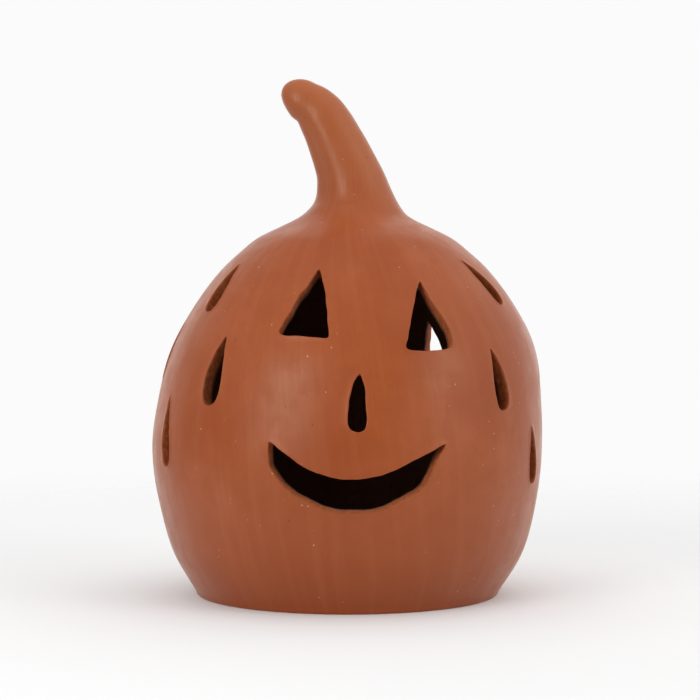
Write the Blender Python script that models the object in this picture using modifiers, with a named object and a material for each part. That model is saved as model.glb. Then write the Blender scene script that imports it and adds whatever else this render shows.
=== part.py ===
"""Clay pumpkin luminary: a hollow jack-o'-lantern of burnished terracotta that stands over a tea light.

Metres, +Z up. The origin is the centre of the foot, on the table. The face looks along -Y, and
azimuths are measured round the body from the face, positive towards +X. The body is open underneath.
Its stem is a hand-rolled horn luted on the crown, with a coil of clay smoothed round its root.
"""

import math

import bmesh
import bpy
from mathutils import Vector

GAP = 0.0003  # left between pieces that touch

# Clay body: stations (radius, height) down the outer skin, from the flat seat under the stem to the foot.
SEAT_RADIUS = 0.0165
SEAT_HEIGHT = 0.1625
BELLY_RADIUS = 0.0835
BELLY_HEIGHT = 0.062
FOOT_RADIUS = 0.0632
FOOT_EDGE = 0.0016
BODY_STATIONS = (
    (SEAT_RADIUS, SEAT_HEIGHT),
    (0.0350, 0.1560),
    (0.0548, 0.1410),
    (0.0690, 0.1225),
    (0.0783, 0.1030),
    (0.0823, 0.0810),
    (BELLY_RADIUS, BELLY_HEIGHT),
    (0.0815, 0.0430),
    (0.0755, 0.0200),
    (FOOT_RADIUS + FOOT_EDGE, FOOT_EDGE),
)
STEPS_PER_STATION = 2
WALL = 0.007
SKIN_SECTORS = 48

# The crown was pushed a little to the +X side while the clay was soft.
CROWN_DRIFT = 0.0032
DRIFT_FROM = 0.060
DRIFT_TO = 0.125

# Stem: centre line (x, z) from the crown's middle, and the radius at each point.
STEM_ROOT_RADIUS = 0.0150
STEM_TIP_RADIUS = 0.0092
STEM_LINE = (
    (0.0000, SEAT_HEIGHT + GAP, STEM_ROOT_RADIUS),
    (0.0000, 0.1690, STEM_ROOT_RADIUS),
    (-0.0001, 0.1742, 0.0149),
    (-0.0032, 0.1830, 0.0133),
    (-0.0072, 0.1910, 0.0120),
    (-0.0118, 0.1990, 0.0112),
    (-0.0170, 0.2063, 0.0106),
    (-0.0220, 0.2108, STEM_TIP_RADIUS),
)
STEM_STEPS = 2
STEM_SIDES = 16
TIP_ARC_STEPS = 4
TIP_FLAT = 0.09  # share of the tip's arc left as a small flat

# Luting coil smoothed round the stem's root: stations (radius, height) down its concave outer side.
COLLAR_STATIONS = (
    (0.0160, 0.1738),
    (0.0168, 0.1708),
    (0.0190, 0.1668),
    (0.0222, 0.1632),
    (0.0262, 0.1606),
    (0.0310, 0.1584),
)
COLLAR_SECTORS = 32

# Cut-outs. Each centre is an azimuth in degrees and a height on the outer skin.
CUT_BEYOND_SKIN = 0.005
CUT_STEPS = 2
# The face: azimuth, height and outline of each opening. The outlines are (across, up) from there over the
# skin, anticlockwise, as sides that each run smoothly through their points.
FACE = (
    (
        "eye_left",
        -19.0,
        0.1142,
        (
            ((-0.0106, 0.0009), (0.0106, -0.0014)),
            ((0.0106, -0.0014), (0.0074, 0.0132), (0.0012, 0.0312)),
            ((0.0012, 0.0312), (-0.0050, 0.0166), (-0.0106, 0.0009)),
        ),
    ),
    (
        "eye_right",
        21.5,
        0.1090,
        (
            ((-0.0107, 0.0004), (0.0, -0.0014), (0.0099, 0.0006)),
            ((0.0099, 0.0006), (0.0094, 0.0090), (0.0023, 0.0309)),
            ((0.0023, 0.0309), (-0.0051, 0.0156), (-0.0107, 0.0004)),
        ),
    ),
    (
        "nose",
        0.0,
        0.0871,
        (
            (
                (-0.0004, 0.0118),
                (-0.0040, 0.0014),
                (-0.0040, -0.0090),
                (0.0, -0.0114),
                (0.0033, -0.0085),
                (0.0024, 0.0014),
                (-0.0004, 0.0118),
            ),
        ),
    ),
    (
        "mouth",
        0.0,
        0.0700,
        (
            (
                (-0.0360, 0.0016),
                (-0.0356, -0.0082),
                (-0.0275, -0.0178),
                (-0.0103, -0.0259),
                (0.0096, -0.0261),
                (0.0270, -0.0175),
                (0.0373, 0.0001),
            ),
            ((0.0373, 0.0001), (0.0156, -0.0098), (-0.0016, -0.0131), (-0.0205, -0.0090), (-0.0360, 0.0016)),
        ),
    ),
)
DROP_BLUNTNESS = 0.35  # less makes the foot of the drop squarer and its widest place lower
DROP_STEPS = 14
# Each row round the body: name, then azimuth, height of the middle, lean in degrees, width and length.
DROP_ROWS = (
    (
        "light_hole_top",
        (
            (-65.2, 0.1324, 0, 0.0083, 0.0250),
            (59.5, 0.1348, 20, 0.0083, 0.0255),
            (120.0, 0.1325, -6, 0.0088, 0.0250),
            (180.0, 0.1310, 4, 0.0090, 0.0260),
            (-120.0, 0.1320, 5, 0.0086, 0.0250),
        ),
    ),
    (
        "light_hole_middle",
        (
            (-47.5, 0.0992, 0, 0.0096, 0.0295),
            (46.4, 0.0954, 13, 0.0080, 0.0270),
            (88.0, 0.1045, 3, 0.0088, 0.0260),
            (147.0, 0.1050, -2, 0.0105, 0.0280),
            (-148.0, 0.0990, 3, 0.0090, 0.0270),
            (-86.5, 0.1055, -2, 0.0090, 0.0260),
        ),
    ),
    (
        "light_hole_low",
        (
            (-68.3, 0.0725, 7, 0.0082, 0.0300),
            (65.6, 0.0624, 8, 0.0090, 0.0250),
            (120.0, 0.0670, -3, 0.0090, 0.0270),
            (-174.0, 0.0675, 2, 0.0090, 0.0275),
            (-120.0, 0.0690, 4, 0.0088, 0.0270),
        ),
    ),
)

# Tea light: the usual 38 mm aluminium cup, paraffin fill, cotton wick and its tin holder.
CUP_RADIUS = 0.0190
CUP_HEIGHT = 0.0160
CUP_METAL = 0.0004
CUP_LIP = 0.0007
CUP_BASE_EDGE = 0.0012
WAX_TOP = 0.0135
WAX_DISH = 0.0008
WAX_DISH_FLAT = 0.55  # shares of the wax's radius
WAX_DISH_SLOPE = 0.85
WAX_BASE_EDGE = 0.0010
WICK_RADIUS = 0.0009
WICK_TOP = 0.0215
WICK_TAPER = 0.8
WICK_SIDES = 12
HOLDER_RADIUS = 0.0062
HOLDER_METAL = 0.0004
HOLDER_NECK_RADIUS = 0.0020
HOLDER_HEIGHT = 0.0045
CUP_SECTORS = 32

# Finishes: colour, roughness and metallic.
CLAY_FINISH = ((0.370, 0.105, 0.042), 0.5, 0.0)
TIN_FINISH = ((0.80, 0.80, 0.79), 0.3, 1.0)
WAX_FINISH = ((0.86, 0.84, 0.78), 0.4, 0.0)
COTTON_FINISH = ((0.78, 0.75, 0.68), 0.8, 0.0)


def clear_scene():
    """Leave an empty scene."""
    for old in list(bpy.data.objects):
        bpy.data.objects.remove(old)


def collection(name, helper=False):
    """A collection linked to the scene. A helper's is kept out of renders."""
    made = bpy.data.collections.new(name)
    bpy.context.scene.collection.children.link(made)
    made.hide_render = helper
    return made


def material(name, colour, roughness, metallic):
    """A Principled material."""
    made = bpy.data.materials.new(name)
    made.use_nodes = True
    shader = made.node_tree.nodes["Principled BSDF"]
    shader.inputs["Base Color"].default_value = (*colour, 1.0)
    shader.inputs["Roughness"].default_value = roughness
    shader.inputs["Metallic"].default_value = metallic
    return made


def smooth_through(stations, steps):
    """Points on a Catmull-Rom curve through the stations, with this many steps between two of them."""
    first = [2 * a - b for a, b in zip(stations[0], stations[1])]
    last = [2 * a - b for a, b in zip(stations[-1], stations[-2])]
    guide = [first, *stations, last]
    points = []
    for i in range(1, len(guide) - 2):
        before, start, end, after = guide[i - 1 : i + 3]
        for step in range(steps):
            t = step / steps
            points.append(
                tuple(
                    b + 0.5 * t * (c - a + t * (2 * a - 5 * b + 4 * c - d + t * (3 * (b - c) + d - a)))
                    for a, b, c, d in zip(before, start, end, after)
                )
            )
    points.append(tuple(stations[-1]))
    return points


class Skin:
    """The body's outer skin, read by the distance run up it from the foot's edge."""

    def __init__(self, outline):
        self.points = [Vector(point) for point in reversed(outline)]
        self.runs = [0.0]
        for a, b in zip(self.points, self.points[1:]):
            self.runs.append(self.runs[-1] + (b - a).length)

    def at(self, run):
        """(radius, height) and the outward normal there, both in the half plane of a section."""
        last = len(self.points) - 2
        i = min(last, max(0, sum(r <= run for r in self.runs) - 1))
        start, end = self.points[i], self.points[i + 1]
        along = (end - start).normalized()
        place = start + along * (run - self.runs[i])
        return place, Vector((along.y, -along.x))

    def run_at(self, height):
        """The distance run up the skin to this height."""
        for i, (a, b) in enumerate(zip(self.points, self.points[1:])):
            if b.y >= height:
                return self.runs[i] + (b - a).length * (height - a.y) / (b.y - a.y)
        return self.runs[-1]

    def point(self, azimuth, run, out):
        """The point at this azimuth in radians and this run, moved out along the normal."""
        place, normal = self.at(run)
        radius, height = place + normal * out
        x = radius * math.sin(azimuth) + drift(height)
        return Vector((x, -radius * math.cos(azimuth), height))


def drift(height):
    """How far the clay leans towards +X at this height."""
    t = min(1.0, max(0.0, (height - DRIFT_FROM) / (DRIFT_TO - DRIFT_FROM)))
    return CROWN_DRIFT * t * t * (3 - 2 * t)


def turned(name, profile, sectors, closed, where, finish):
    """A piece turned about Z from (radius, height) points, which run down its outer side first."""
    mesh = bpy.data.meshes.new(name)
    count = len(profile)
    edges = [(i, i + 1) for i in range(count - 1)]
    if closed:
        edges.append((count - 1, 0))
    mesh.from_pydata([(radius, 0.0, height) for radius, height in profile], edges, [])
    piece = bpy.data.objects.new(name, mesh)
    where.objects.link(piece)
    screw = piece.modifiers.new("Turn", "SCREW")
    screw.steps = sectors
    screw.render_steps = sectors
    screw.use_merge_vertices = True
    screw.merge_threshold = 0.00002
    screw.use_smooth_shade = True
    mesh.materials.append(finish)
    return piece


def made_mesh(piece):
    """Turn a piece's modifiers, or its curve, into its own closed mesh."""
    graph = bpy.context.evaluated_depsgraph_get()
    mesh = bpy.data.meshes.new_from_object(piece.evaluated_get(graph), depsgraph=graph)
    bm = bmesh.new()
    bm.from_mesh(mesh)
    bmesh.ops.remove_doubles(bm, verts=bm.verts, dist=0.00001)
    bm.to_mesh(mesh)
    bm.free()
    made = bpy.data.objects.new("made", mesh)
    for where in piece.users_collection:
        where.objects.link(made)
    made.matrix_world = piece.matrix_world
    name = piece.name
    bpy.data.objects.remove(piece)
    made.name = name
    mesh.name = name
    mesh.shade_smooth()
    mesh.set_sharp_from_angle(angle=math.radians(40))
    return made


def teardrop(width, height):
    """A drop with its point up, as (across, up) from its middle."""
    turns = [-2 * math.pi * i / DROP_STEPS for i in range(DROP_STEPS)]
    below = [(1 - math.cos(t)) / 2 for t in turns]
    across = [math.copysign(d * (1 - d) ** DROP_BLUNTNESS, math.sin(t)) for d, t in zip(below, turns)]
    widest = max(across)
    return [(width / 2 * a / widest, height / 2 * math.cos(t)) for a, t in zip(across, turns)]


def leant(outline, degrees):
    """The outline turned anticlockwise about its middle."""
    cos, sin = math.cos(math.radians(degrees)), math.sin(math.radians(degrees))
    return [(across * cos - up * sin, across * sin + up * cos) for across, up in outline]


def outline_of(sides):
    """One loop of points from the sides of an opening, each smoothed by itself so that its ends stay sharp."""
    return [point for side in sides for point in smooth_through(side, CUT_STEPS)[:-1]]


def plug(name, skin, loop, where):
    """A cutter square to the skin, from outside the wall to inside it.

    Its loop of (azimuth, run) goes round the opening anticlockwise, as seen from outside.
    """
    bm = bmesh.new()
    outside = [bm.verts.new(skin.point(azimuth, run, CUT_BEYOND_SKIN)) for azimuth, run in loop]
    inner = -WALL - CUT_BEYOND_SKIN
    inside = [bm.verts.new(skin.point(azimuth, run, inner)) for azimuth, run in loop]
    count = len(loop)
    for i in range(count):
        j = (i + 1) % count
        bm.faces.new((outside[j], outside[i], inside[i], inside[j]))
    bm.faces.new(outside)
    bm.faces.new(reversed(inside))
    bmesh.ops.triangulate(bm, faces=bm.faces)
    mesh = bpy.data.meshes.new(name)
    bm.to_mesh(mesh)
    bm.free()
    made = bpy.data.objects.new(name, mesh)
    made.hide_render = True
    made.display_type = "WIRE"
    where.objects.link(made)


def plug_at(name, skin, azimuth, height, outline, where):
    """A cutter whose outline is (across, up) in metres from this place on the skin."""
    base = skin.run_at(height)
    loop = []
    for across, up in outline:
        radius = skin.at(base + up)[0].x
        loop.append((math.radians(azimuth) + across / radius, base + up))
    plug(name, skin, loop, where)


def cut_outs(skin, where):
    """Every opening in the wall: eyes, nose, mouth and three rows of drop-shaped light holes."""
    for name, azimuth, height, sides in FACE:
        plug_at(name, skin, azimuth, height, outline_of(sides), where)
    for name, holes in DROP_ROWS:
        for number, (azimuth, height, lean, width, length) in enumerate(holes, 1):
            drop = leant(teardrop(width, length), lean)
            plug_at(f"{name}_{number}", skin, azimuth, height, drop, where)


def pumpkin_shell(clay, parts, cutters):
    """The hollow body, with every cut-out taken through its wall."""
    outline = smooth_through(BODY_STATIONS, STEPS_PER_STATION)
    skin = Skin(outline)
    outside = [(0.0, SEAT_HEIGHT), *outline, (FOOT_RADIUS, 0.0)]
    inner_foot = FOOT_RADIUS + FOOT_EDGE - WALL
    inside = [(inner_foot, 0.0), (inner_foot, FOOT_EDGE)]
    for run in skin.runs[2::2]:
        place, normal = skin.at(run)
        inside.append(tuple(place - WALL * normal))
    inside.append((0.0, SEAT_HEIGHT - WALL))
    shell = turned("pumpkin_shell", outside + inside, SKIN_SECTORS, False, parts, clay)
    shell = made_mesh(shell)
    for vertex in shell.data.vertices:
        vertex.co.x += drift(vertex.co.z)
    cut_outs(skin, cutters)
    cut = shell.modifiers.new("Cut-outs", "BOOLEAN")
    cut.operation = "DIFFERENCE"
    cut.solver = "EXACT"
    cut.operand_type = "COLLECTION"
    cut.collection = cutters
    return shell


def stem(clay, parts):
    """The bent horn: a tapered tube along its centre line, closed by a rounded tip."""
    line = smooth_through(STEM_LINE, STEM_STEPS)
    (x0, z0, _), (x1, z1, _) = line[-2:]
    heading = Vector((x1 - x0, z1 - z0)).normalized()
    for i in range(1, TIP_ARC_STEPS + 1):
        turn = 0.5 * math.pi * (1 - TIP_FLAT) * i / TIP_ARC_STEPS
        ahead = STEM_TIP_RADIUS * math.sin(turn)
        line.append((x1 + heading.x * ahead, z1 + heading.y * ahead, STEM_TIP_RADIUS * math.cos(turn)))
    curve = bpy.data.curves.new("stem", "CURVE")
    curve.dimensions = "3D"
    curve.bevel_depth = 1.0
    curve.bevel_resolution = STEM_SIDES // 4 - 1
    curve.use_fill_caps = True
    spline = curve.splines.new("POLY")
    spline.points.add(len(line) - 1)
    for point, (x, z, radius) in zip(spline.points, line):
        point.co = (x + CROWN_DRIFT, 0.0, z, 1.0)
        point.radius = radius
    curve.materials.append(clay)
    piece = bpy.data.objects.new("stem", curve)
    parts.objects.link(piece)
    return made_mesh(piece)


def stem_collar(clay, parts):
    """The luting coil: a concave ring between the stem's root and the crown."""
    skin = Skin(smooth_through(BODY_STATIONS, STEPS_PER_STATION))
    outer = smooth_through(COLLAR_STATIONS, 2)
    bore = STEM_ROOT_RADIUS + GAP
    edge_radius = COLLAR_STATIONS[-1][0]
    under = []
    for place, run in zip(skin.points, skin.runs):
        if SEAT_RADIUS < place.x < edge_radius:
            lifted = place + skin.at(run)[1] * GAP * 2
            under.append((lifted.x, lifted.y))
    seat = SEAT_HEIGHT + GAP
    profile = [*outer, *under, (SEAT_RADIUS, seat), (bore, seat), (bore, COLLAR_STATIONS[0][1])]
    piece = turned("stem_collar", profile, COLLAR_SECTORS, True, parts, clay)
    piece.location.x = CROWN_DRIFT
    return piece


def candle_cup(tin, parts):
    """A thin drawn cup with a rolled lip."""
    inner = CUP_RADIUS - CUP_METAL
    profile = [
        (CUP_RADIUS - CUP_METAL / 2, CUP_HEIGHT),
        (CUP_RADIUS + CUP_LIP, CUP_HEIGHT - CUP_LIP / 2),
        (CUP_RADIUS + CUP_LIP, CUP_HEIGHT - CUP_LIP),
        (CUP_RADIUS, CUP_HEIGHT - 2 * CUP_LIP),
        (CUP_RADIUS, CUP_BASE_EDGE),
        (CUP_RADIUS - CUP_BASE_EDGE, 0.0),
        (0.0, 0.0),
    ]
    inside = [
        (0.0, CUP_METAL),
        (inner - WAX_BASE_EDGE, CUP_METAL),
        (inner, CUP_METAL + WAX_BASE_EDGE),
        (inner, CUP_HEIGHT - CUP_LIP),
    ]
    return turned("candle_cup", profile + inside, CUP_SECTORS, True, parts, tin)


def candle_wax(paraffin, parts):
    """The paraffin fill, with room for the wick and for the wick's holder under it."""
    rim = CUP_RADIUS - CUP_METAL - GAP
    floor = CUP_METAL + GAP
    bore = WICK_RADIUS + GAP
    neck = HOLDER_NECK_RADIUS + GAP
    plate = HOLDER_RADIUS + GAP
    plate_top = floor + HOLDER_METAL + GAP
    profile = [
        (bore, WAX_TOP - WAX_DISH),
        (rim * WAX_DISH_FLAT, WAX_TOP - WAX_DISH),
        (rim * WAX_DISH_SLOPE, WAX_TOP - WAX_DISH / 3),
        (rim, WAX_TOP),
        (rim, floor + WAX_BASE_EDGE),
        (rim - WAX_BASE_EDGE, floor),
        (plate, floor),
        (plate, plate_top),
        (neck, plate_top),
        (neck, floor + HOLDER_HEIGHT + GAP),
        (bore, floor + HOLDER_HEIGHT + GAP),
    ]
    return turned("candle_wax", profile, CUP_SECTORS, True, parts, paraffin)


def wick_holder(tin, parts):
    """A pressed disc with a short neck, which stands the wick on the cup's floor."""
    floor = CUP_METAL + GAP
    bore = WICK_RADIUS + GAP
    profile = [
        (HOLDER_NECK_RADIUS, floor + HOLDER_HEIGHT),
        (HOLDER_NECK_RADIUS, floor + HOLDER_METAL),
        (HOLDER_RADIUS, floor + HOLDER_METAL),
        (HOLDER_RADIUS, floor),
        (bore, floor),
        (bore, floor + HOLDER_HEIGHT),
    ]
    return turned("wick_holder", profile, CUP_SECTORS // 2, True, parts, tin)


def candle_wick(cotton, parts):
    """A straight round cord that stands in its holder."""
    low = CUP_METAL + 2 * GAP
    bm = bmesh.new()
    bmesh.ops.create_cone(
        bm,
        cap_ends=True,
        segments=WICK_SIDES,
        radius1=WICK_RADIUS,
        radius2=WICK_RADIUS * WICK_TAPER,
        depth=WICK_TOP - low,
    )
    mesh = bpy.data.meshes.new("candle_wick")
    bm.to_mesh(mesh)
    bm.free()
    mesh.materials.append(cotton)
    mesh.shade_smooth()
    mesh.set_sharp_from_angle(angle=math.radians(40))
    piece = bpy.data.objects.new("candle_wick", mesh)
    piece.location.z = (WICK_TOP + low) / 2
    parts.objects.link(piece)
    return piece


def main():
    clear_scene()
    parts = collection("pumpkin_luminary")
    cutters = collection("cutters", helper=True)
    clay = material("burnished_terracotta", *CLAY_FINISH)
    tin = material("drawn_aluminium", *TIN_FINISH)
    paraffin = material("paraffin_wax", *WAX_FINISH)
    cotton = material("waxed_cotton", *COTTON_FINISH)
    pumpkin_shell(clay, parts, cutters)
    stem(clay, parts)
    stem_collar(clay, parts)
    candle_cup(tin, parts)
    candle_wax(paraffin, parts)
    wick_holder(tin, parts)
    candle_wick(cotton, parts)


main()
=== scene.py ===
"""Looks of the clay pumpkin luminary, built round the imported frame.

The fired clay is one seamless skin: body, luting coil and stem together, with every cut-out rolled over
into its wall. The tea light under it gets a new cup, wax and wick, and its wick holder keeps its solid.
Everything is in metres, in the frame of the CAD.
"""

import math

import bmesh
import bpy
import numpy as np
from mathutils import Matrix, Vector, noise
from mathutils.geometry import delaunay_2d_cdt


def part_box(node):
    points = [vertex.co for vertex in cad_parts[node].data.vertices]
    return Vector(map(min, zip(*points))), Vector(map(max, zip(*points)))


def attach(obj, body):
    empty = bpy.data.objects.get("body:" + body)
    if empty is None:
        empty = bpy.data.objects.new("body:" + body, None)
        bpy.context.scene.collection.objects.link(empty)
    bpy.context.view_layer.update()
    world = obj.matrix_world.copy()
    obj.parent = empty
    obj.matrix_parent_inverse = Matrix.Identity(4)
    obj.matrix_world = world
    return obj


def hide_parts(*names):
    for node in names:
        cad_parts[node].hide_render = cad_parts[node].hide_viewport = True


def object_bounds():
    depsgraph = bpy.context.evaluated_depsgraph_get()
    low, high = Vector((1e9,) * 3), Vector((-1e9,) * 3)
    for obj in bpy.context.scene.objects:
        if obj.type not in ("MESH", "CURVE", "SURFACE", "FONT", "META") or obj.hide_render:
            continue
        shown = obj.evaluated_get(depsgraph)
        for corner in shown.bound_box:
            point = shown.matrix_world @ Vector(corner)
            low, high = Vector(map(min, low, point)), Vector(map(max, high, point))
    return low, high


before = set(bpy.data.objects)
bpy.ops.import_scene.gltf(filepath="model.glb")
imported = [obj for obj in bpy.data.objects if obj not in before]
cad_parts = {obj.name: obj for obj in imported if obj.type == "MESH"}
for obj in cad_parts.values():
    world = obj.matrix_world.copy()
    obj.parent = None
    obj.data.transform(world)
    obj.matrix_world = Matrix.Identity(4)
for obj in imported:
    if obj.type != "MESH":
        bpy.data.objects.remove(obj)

# Vector noise starts from the clock unless it is given a seed.
noise.seed_set(7)

cad_box = [list(corner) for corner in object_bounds()]

MM = 0.001

# ---------------------------------------------------------------- sizes read from the frame
SHELL_LOW, SHELL_HIGH = (Vector(corner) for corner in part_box("pumpkin_shell"))
STEM_LOW, STEM_HIGH = (Vector(corner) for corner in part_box("stem"))
CUP_LOW, CUP_HIGH = (Vector(corner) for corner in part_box("candle_cup"))
WAX_LOW, WAX_HIGH = (Vector(corner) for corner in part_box("candle_wax"))
WICK_LOW, WICK_HIGH = (Vector(corner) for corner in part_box("candle_wick"))
BELLY = (SHELL_HIGH.y - SHELL_LOW.y) / 2
SEAT = SHELL_HIGH.z
STEM_TOP = STEM_HIGH.z
STEM_REACH = STEM_LOW.x

# ---------------------------------------------------------------- the clay's own shape
WALL = 7.0 * MM
# Down the dome to the foot: shares of the belly's radius and of the seat's height.
DOME = (
    (0.198, 1.000),
    (0.419, 0.960),
    (0.656, 0.868),
    (0.826, 0.754),
    (0.938, 0.634),
    (0.986, 0.498),
    (1.000, 0.382),
    (0.976, 0.265),
    (0.904, 0.123),
    (0.779, 0.010),
)
FOOT_ROLL = 1.6 * MM
# How far the crown stands off the foot's axis, and over which shares of the seat's height it gets there.
CROWN_DRIFT = 3.2 * MM
DRIFT_SPAN = (0.369, 0.769)

# Up the neck from the dome, then along the bent stem: across and height in shares of the stem's reach
# and rise over the seat, the radius in millimetres, and the ring's tilt in degrees.
NECK = (
    (0.000, -0.183, 41.9, 0.0),
    (0.000, -0.096, 32.1, 0.0),
    (0.000, -0.050, 26.6, 0.0),
    (0.000, -0.005, 22.3, 0.0),
    (0.000, 0.040, 19.8, 1.0),
    (0.006, 0.100, 17.5, 4.0),
    (0.024, 0.170, 15.9, 8.0),
    (0.060, 0.255, 14.6, 13.0),
    (0.118, 0.350, 13.3, 19.0),
    (0.196, 0.452, 12.5, 23.5),
    (0.280, 0.550, 11.8, 26.0),
    (0.370, 0.652, 11.2, 29.0),
    (0.479, 0.745, 10.5, 38.0),
    (0.590, 0.811, 9.4, 49.0),
    (0.691, 0.842, 8.8, 59.0),
)
# The tip: how far it reaches past the last ring of the neck, and how many degrees further it turns.
TIP_ROUND = 10.4 * MM
TIP_TURN = 35.0
NECK_STEPS = 5
# The stem's ridge and flat side: where round it and how wide, in degrees, and how far out or in.
STEM_RIDGE = (-25.0, 24.0, 0.050)
STEM_FLAT = (-56.0, 22.0, -0.080)

# Soft hollows and dents left by the hands, and the torn grain of cut clay: how far apart and how deep.
# They fade out below LEVEL_FOOT, so that the foot stays flat.
HOLLOW_SPAN, HOLLOW_DEPTH = 46 * MM, 0.45 * MM
DENT_SPAN, DENT_DEPTH = 17 * MM, 0.10 * MM
TORN_SPAN, TORN_DEPTH = 1.9 * MM, 0.11 * MM
LEVEL_FOOT = 12 * MM

# ---------------------------------------------------------------- cut-outs
# The skin's mesh: the grid's step, its columns, how high it goes in shares of the seat's height, where it
# closes, how far from a cut's middle its outline can reach, and how close to the outline the grid comes.
GRID = 2.0 * MM
COLUMNS = 264
SKIN_TOP = 0.895
SEAM = math.radians(-164.0)
CUT_REACH = 60 * MM
CUT_GAP = 0.62 * GRID
# The edges: a cut's outer roll, how far its rim stands proud, its inner roll, and the foot's inner roll.
EDGE_ROLL = 0.45 * MM
EDGE_RISE = 0.13 * MM
INNER_ROLL = 0.7 * MM
INNER_FOOT_ROLL = 0.8 * MM
# The outlines: their step, how the knife wandered and chattered along them, and how worn they are since.
OUTLINE_STEP = 1.1 * MM
KNIFE_WANDER = 4.0 * MM
KNIFE_CHATTER = 1.6 * MM
KNIFE_SLIP = 0.32 * MM
SOFTENING = 0.2
# Azimuth in degrees and height in millimetres of each opening of the face.
EYE_LEFT = (-19.0, 114.2)
EYE_RIGHT = (21.5, 109.0)
NOSE = (0.0, 87.1)
MOUTH = (0.0, 70.0)
# How much further out each opening's edge lies on the inner skin than on the outer. The light holes have
# that only up to FLARED_TO degrees round from the front.
EYE_LEFT_FLARE = 2.0 * MM
EYE_RIGHT_FLARE = 2.2 * MM
NOSE_FLARE = 0.8 * MM
MOUTH_FLARE = 0.6 * MM
HOLE_FLARE = 1.8 * MM
FLARED_TO = 100.0
DROP_BLUNTNESS = 0.35
# Azimuth, height of the middle, lean, width and length of each drop-shaped hole: degrees and millimetres.
LIGHT_HOLES = (
    (-65.2, 132.4, 0, 9.4, 25.0),
    (59.5, 134.8, 20, 8.3, 25.5),
    (120.0, 132.5, -6, 8.8, 25.0),
    (180.0, 131.0, 4, 9.0, 26.0),
    (-120.0, 132.0, 5, 8.6, 25.0),
    (-47.5, 99.2, 0, 9.6, 29.5),
    (46.4, 95.4, 13, 8.0, 27.0),
    (88.0, 104.5, 3, 8.8, 26.0),
    (147.0, 105.0, -2, 10.5, 28.0),
    (-148.0, 99.0, 3, 9.0, 27.0),
    (-86.5, 105.5, -2, 9.0, 26.0),
    (-68.3, 72.5, 7, 8.2, 30.0),
    (65.6, 62.4, 8, 9.0, 25.0),
    (120.0, 67.0, -3, 9.0, 27.0),
    (-174.0, 67.5, 2, 9.0, 27.5),
    (-120.0, 69.0, 4, 8.8, 27.0),
)


def smooth_through(stations, steps):
    """Points on a Catmull-Rom curve through the stations, as an array."""
    stations = np.array(stations, float)
    guide = np.vstack([2 * stations[0] - stations[1], stations, 2 * stations[-1] - stations[-2]])
    t = (np.arange(steps) / steps)[:, None]
    points = []
    for a, b, c, d in zip(guide, guide[1:], guide[2:], guide[3:]):
        points.append(b + 0.5 * t * (c - a + t * (2 * a - 5 * b + 4 * c - d + t * (3 * (b - c) + d - a))))
    return np.vstack([*points, stations[-1:]])


def along(points):
    """The distance run along a polyline at each of its points."""
    return np.concatenate([[0.0], np.cumsum(np.linalg.norm(np.diff(points, axis=0), axis=1))])


def drift(height):
    """How far the clay leans towards +X at a height."""
    low, high = (share * SEAT for share in DRIFT_SPAN)
    t = np.clip((height - low) / (high - low), 0, 1)
    return CROWN_DRIFT * t * t * (3 - 2 * t)


def even_steps(line):
    """The line cut into steps near OUTLINE_STEP, without its last point."""
    run = along(line)
    count = max(2, round(run[-1] / OUTLINE_STEP))
    at = np.arange(count) / count * run[-1]
    return np.stack([np.interp(at, run, line[:, i]) for i in (0, 1)], axis=1)


class Dome:
    """The body's outer skin as a turned profile, read by the distance run up it from the foot."""

    def __init__(self):
        profile = smooth_through(DOME, 24)[::-1] * (BELLY, SEAT)
        self.run = along(profile)
        self.profile = profile
        tangent = np.gradient(profile, self.run, axis=0)
        tangent /= np.linalg.norm(tangent, axis=1)[:, None]
        self.normal = np.stack([tangent[:, 1], -tangent[:, 0]], axis=1)

    def _read(self, table, run):
        return np.stack([np.interp(run, self.run, table[:, i]) for i in (0, 1)], axis=-1)

    def section(self, run, out=0.0):
        """(radius, height) at each run, moved out along the normal."""
        return self._read(self.profile, run) + self._read(self.normal, run) * np.asarray(out)[..., None]

    def run_at(self, height):
        return float(np.interp(height, self.profile[:, 1], self.run))

    def points(self, azimuth, run, out=0.0):
        """Places in space at each azimuth and run."""
        section = self.section(run, out)
        radius, height = section[..., 0], section[..., 1]
        x = radius * np.sin(azimuth) + drift(height)
        return np.stack([x, -radius * np.cos(azimuth), height], axis=-1)


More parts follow.
